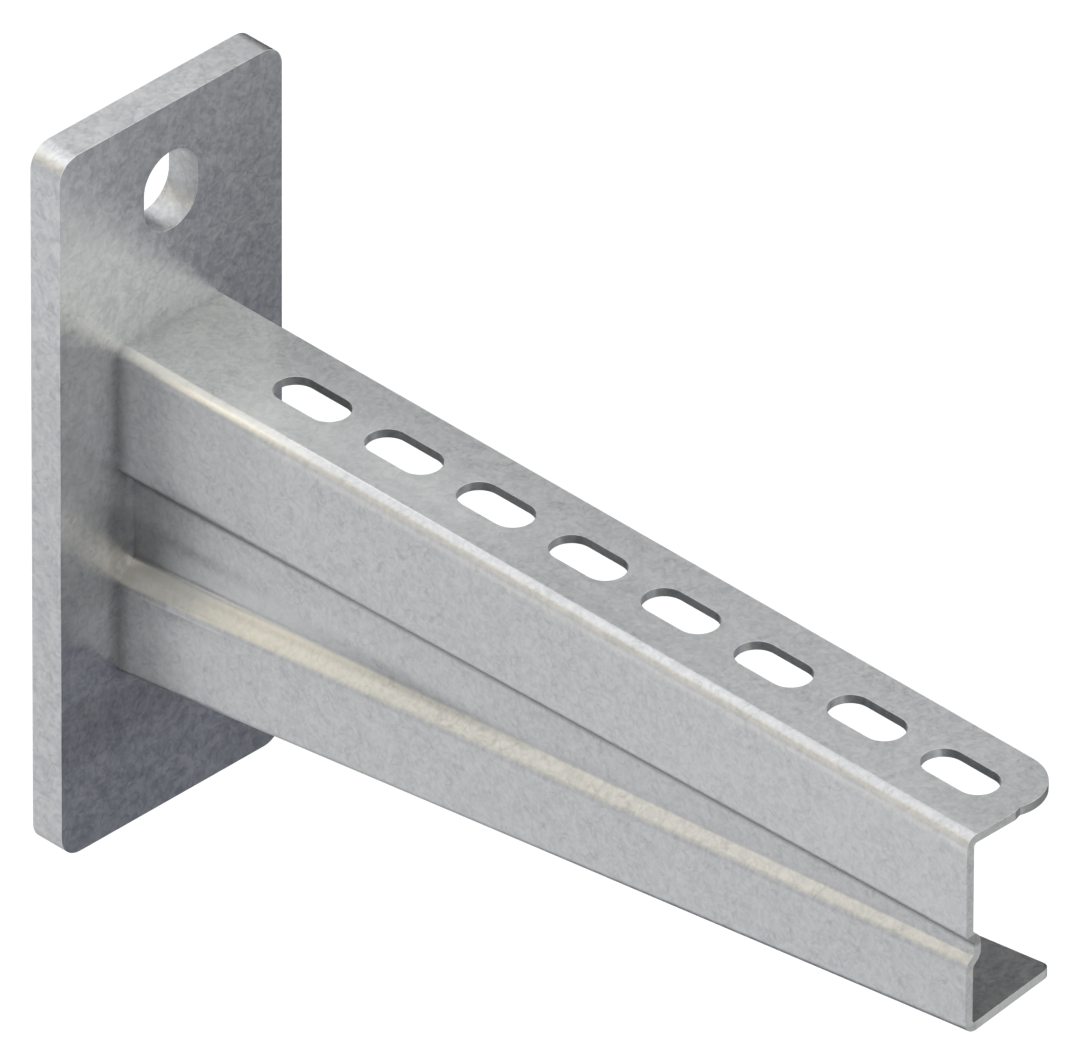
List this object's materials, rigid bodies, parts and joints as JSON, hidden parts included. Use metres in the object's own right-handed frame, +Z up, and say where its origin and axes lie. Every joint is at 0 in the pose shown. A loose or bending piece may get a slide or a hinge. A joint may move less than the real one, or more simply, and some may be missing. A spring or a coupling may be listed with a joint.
{
  "type": "cantilever strut arm",
  "caption": "Cantilever strut arm: tapered folded steel channel with a slotted top flange and a swaged groove, welded square onto a thick head plate.",
  "frame": {"origin": "on the wall face of the head plate, on its centre line, midway between its two bolt holes", "axes": "+X out from the wall along the arm, +Z up, the channel open towards +Y"},
  "size_m": [0.2378, 0.06, 0.1633],
  "materials": {
    "plate_zinc": "hot-dip galvanised, matt to satin",
    "sheet_zinc": "hot-dip galvanised, matt to satin",
    "weld_zinc": "galvanised over the bead, matt"
  },
  "bodies": {
    "root": {"head_plate": "plate_zinc", "channel_arm": "sheet_zinc", "weld_seam": "weld_zinc"}
  },
  "joints": []
}
